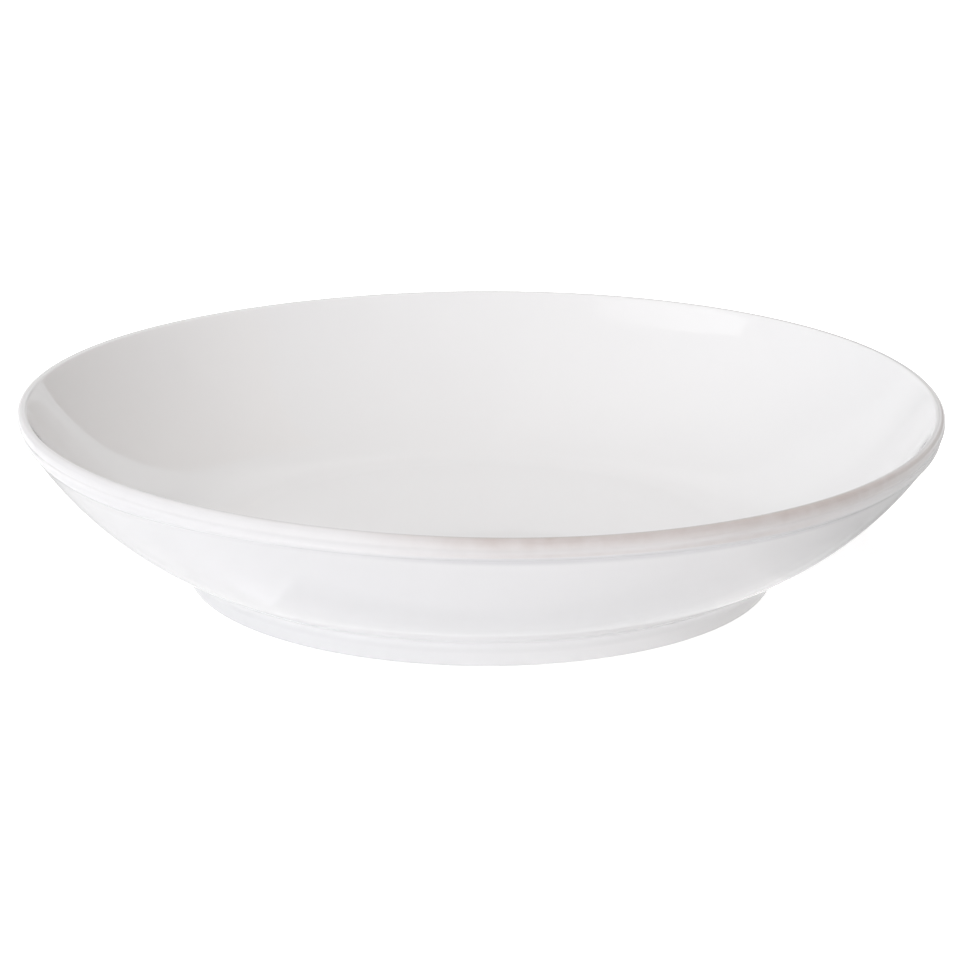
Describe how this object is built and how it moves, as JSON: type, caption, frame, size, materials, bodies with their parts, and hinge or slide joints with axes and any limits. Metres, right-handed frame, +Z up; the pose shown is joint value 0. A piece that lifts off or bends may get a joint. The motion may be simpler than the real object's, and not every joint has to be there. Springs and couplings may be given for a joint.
{
  "type": "salad bowl",
  "caption": "Wide, shallow salad bowl of white glazed stoneware, with a rounded lip over a ridged rim band, a smooth curved wall and a low foot ring.",
  "frame": {"origin": "on the bowl's axis, at the level of the table that the foot ring stands on", "axes": "+Z up along the bowl's axis; X and Y are any two square directions, because the bowl is round"},
  "size_m": [0.34, 0.34, 0.0672],
  "materials": {
    "bare_stoneware": "matt, fired bare clay",
    "white_glaze": "glossy"
  },
  "bodies": {
    "root": {"clay_body": "bare_stoneware", "glaze_coat": "white_glaze", "underside_glaze": "white_glaze"}
  },
  "joints": []
}
